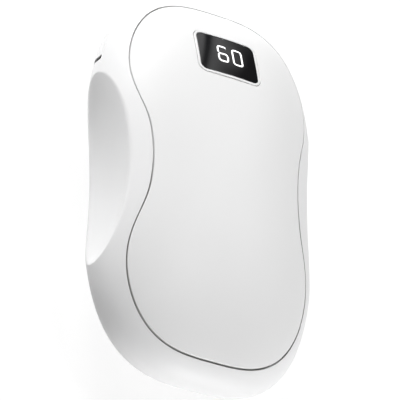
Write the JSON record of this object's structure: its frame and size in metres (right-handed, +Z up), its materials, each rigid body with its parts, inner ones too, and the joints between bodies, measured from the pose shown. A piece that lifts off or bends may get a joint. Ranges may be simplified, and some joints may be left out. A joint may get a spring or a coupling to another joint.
{
  "type": "rechargeable hand warmer",
  "caption": "Pebble-shaped rechargeable hand warmer with finger scoops at its sides, heating panels front and back, and a small black display.",
  "frame": {"origin": "centre of the bounding box on the surface that the warmer lies on, under the rear panel's resting flat", "axes": "+X to the warmer's right seen from the front, +Y along its length towards the display end, +Z up through its thickness, out of the front panel"},
  "size_m": [0.0594, 0.1039, 0.0336],
  "materials": {
    "shell_white": "fine matte moulding",
    "panel_white": "satin coating",
    "heat_plate": "rolled sheet",
    "heating_film": "polyimide film with etched track",
    "foam_pad": "soft closed foam",
    "cell_wrap": "shrunk sleeve over a metal can",
    "washer_white": "pressed paper board",
    "nickel_strip": "rolled strip",
    "cradle_grey": "fine moulding",
    "screw_steel": "plated",
    "board_green": "solder mask",
    "socket_steel": "drawn shell",
    "black_moulding": "fine moulding",
    "chip_black": "moulded package",
    "ferrite": "sintered",
    "capacitor_tan": "fired ceramic",
    "plug_ivory": "nylon moulding",
    "lead_red": "soft insulation",
    "lead_black": "soft insulation",
    "bead_black": "dipped resin",
    "fuse_white": "glazed ceramic",
    "bezel_white": "polished rim",
    "lens_black": "polished, smoke black",
    "digit_white": "lit light guide",
    "pin_brass": "plated pins",
    "button_white": "fine matte moulding",
    "switch_grey": "fine moulding"
  },
  "bodies": {
    "warmer": {"housing": "shell_white", "front_panel": "panel_white", "rear_panel": "panel_white", "front_heat_plate": "heat_plate", "rear_heat_plate": "heat_plate", "front_heating_film": "heating_film", "rear_heating_film": "heating_film", "front_pad": "foam_pad", "rear_pad": "foam_pad", "battery_cell_left": "cell_wrap", "battery_cell_right": "cell_wrap", "cell_washers": "washer_white", "cell_link_top": "nickel_strip", "cell_link_bottom": "nickel_strip", "battery_cradle": "cradle_grey", "case_screws": "screw_steel", "main_board": "board_green", "usb_shell": "socket_steel", "usb_tongue": "black_moulding", "charge_chip": "chip_black", "control_chip": "chip_black", "power_inductor": "ferrite", "board_capacitors": "capacitor_tan", "front_heater_plug": "plug_ivory", "rear_heater_plug": "plug_ivory", "front_heater_lead": "lead_red", "rear_heater_lead": "lead_red", "battery_plus_lead": "lead_red", "battery_minus_lead": "lead_black", "thermistor": "bead_black", "thermal_fuse": "fuse_white", "display_bezel": "bezel_white", "display_lens": "lens_black", "display_digits": "digit_white", "display_block": "black_moulding", "display_board": "board_green", "display_header": "pin_brass", "switch_body": "switch_grey"},
    "power_button": {"power_button": "button_white"},
    "switch_plunger": {"switch_plunger": "black_moulding"}
  },
  "joints": [
    {"name": "power_button_press", "type": "slide", "parent": "warmer", "child": "power_button", "axis": [-0.9222, -0.3867, 0], "range_m": [0, 0.0005], "stiffness_N_per_m": 1200, "springref_m": -0.0005},
    {"name": "switch_plunger_press", "type": "slide", "parent": "warmer", "child": "switch_plunger", "axis": [-0.9222, -0.3867, 0], "range_m": [0, 0.0005]}
  ],
  "couplings": [
    {"joint": "switch_plunger_press", "follows": "power_button_press", "ratio": 1}
  ]
}
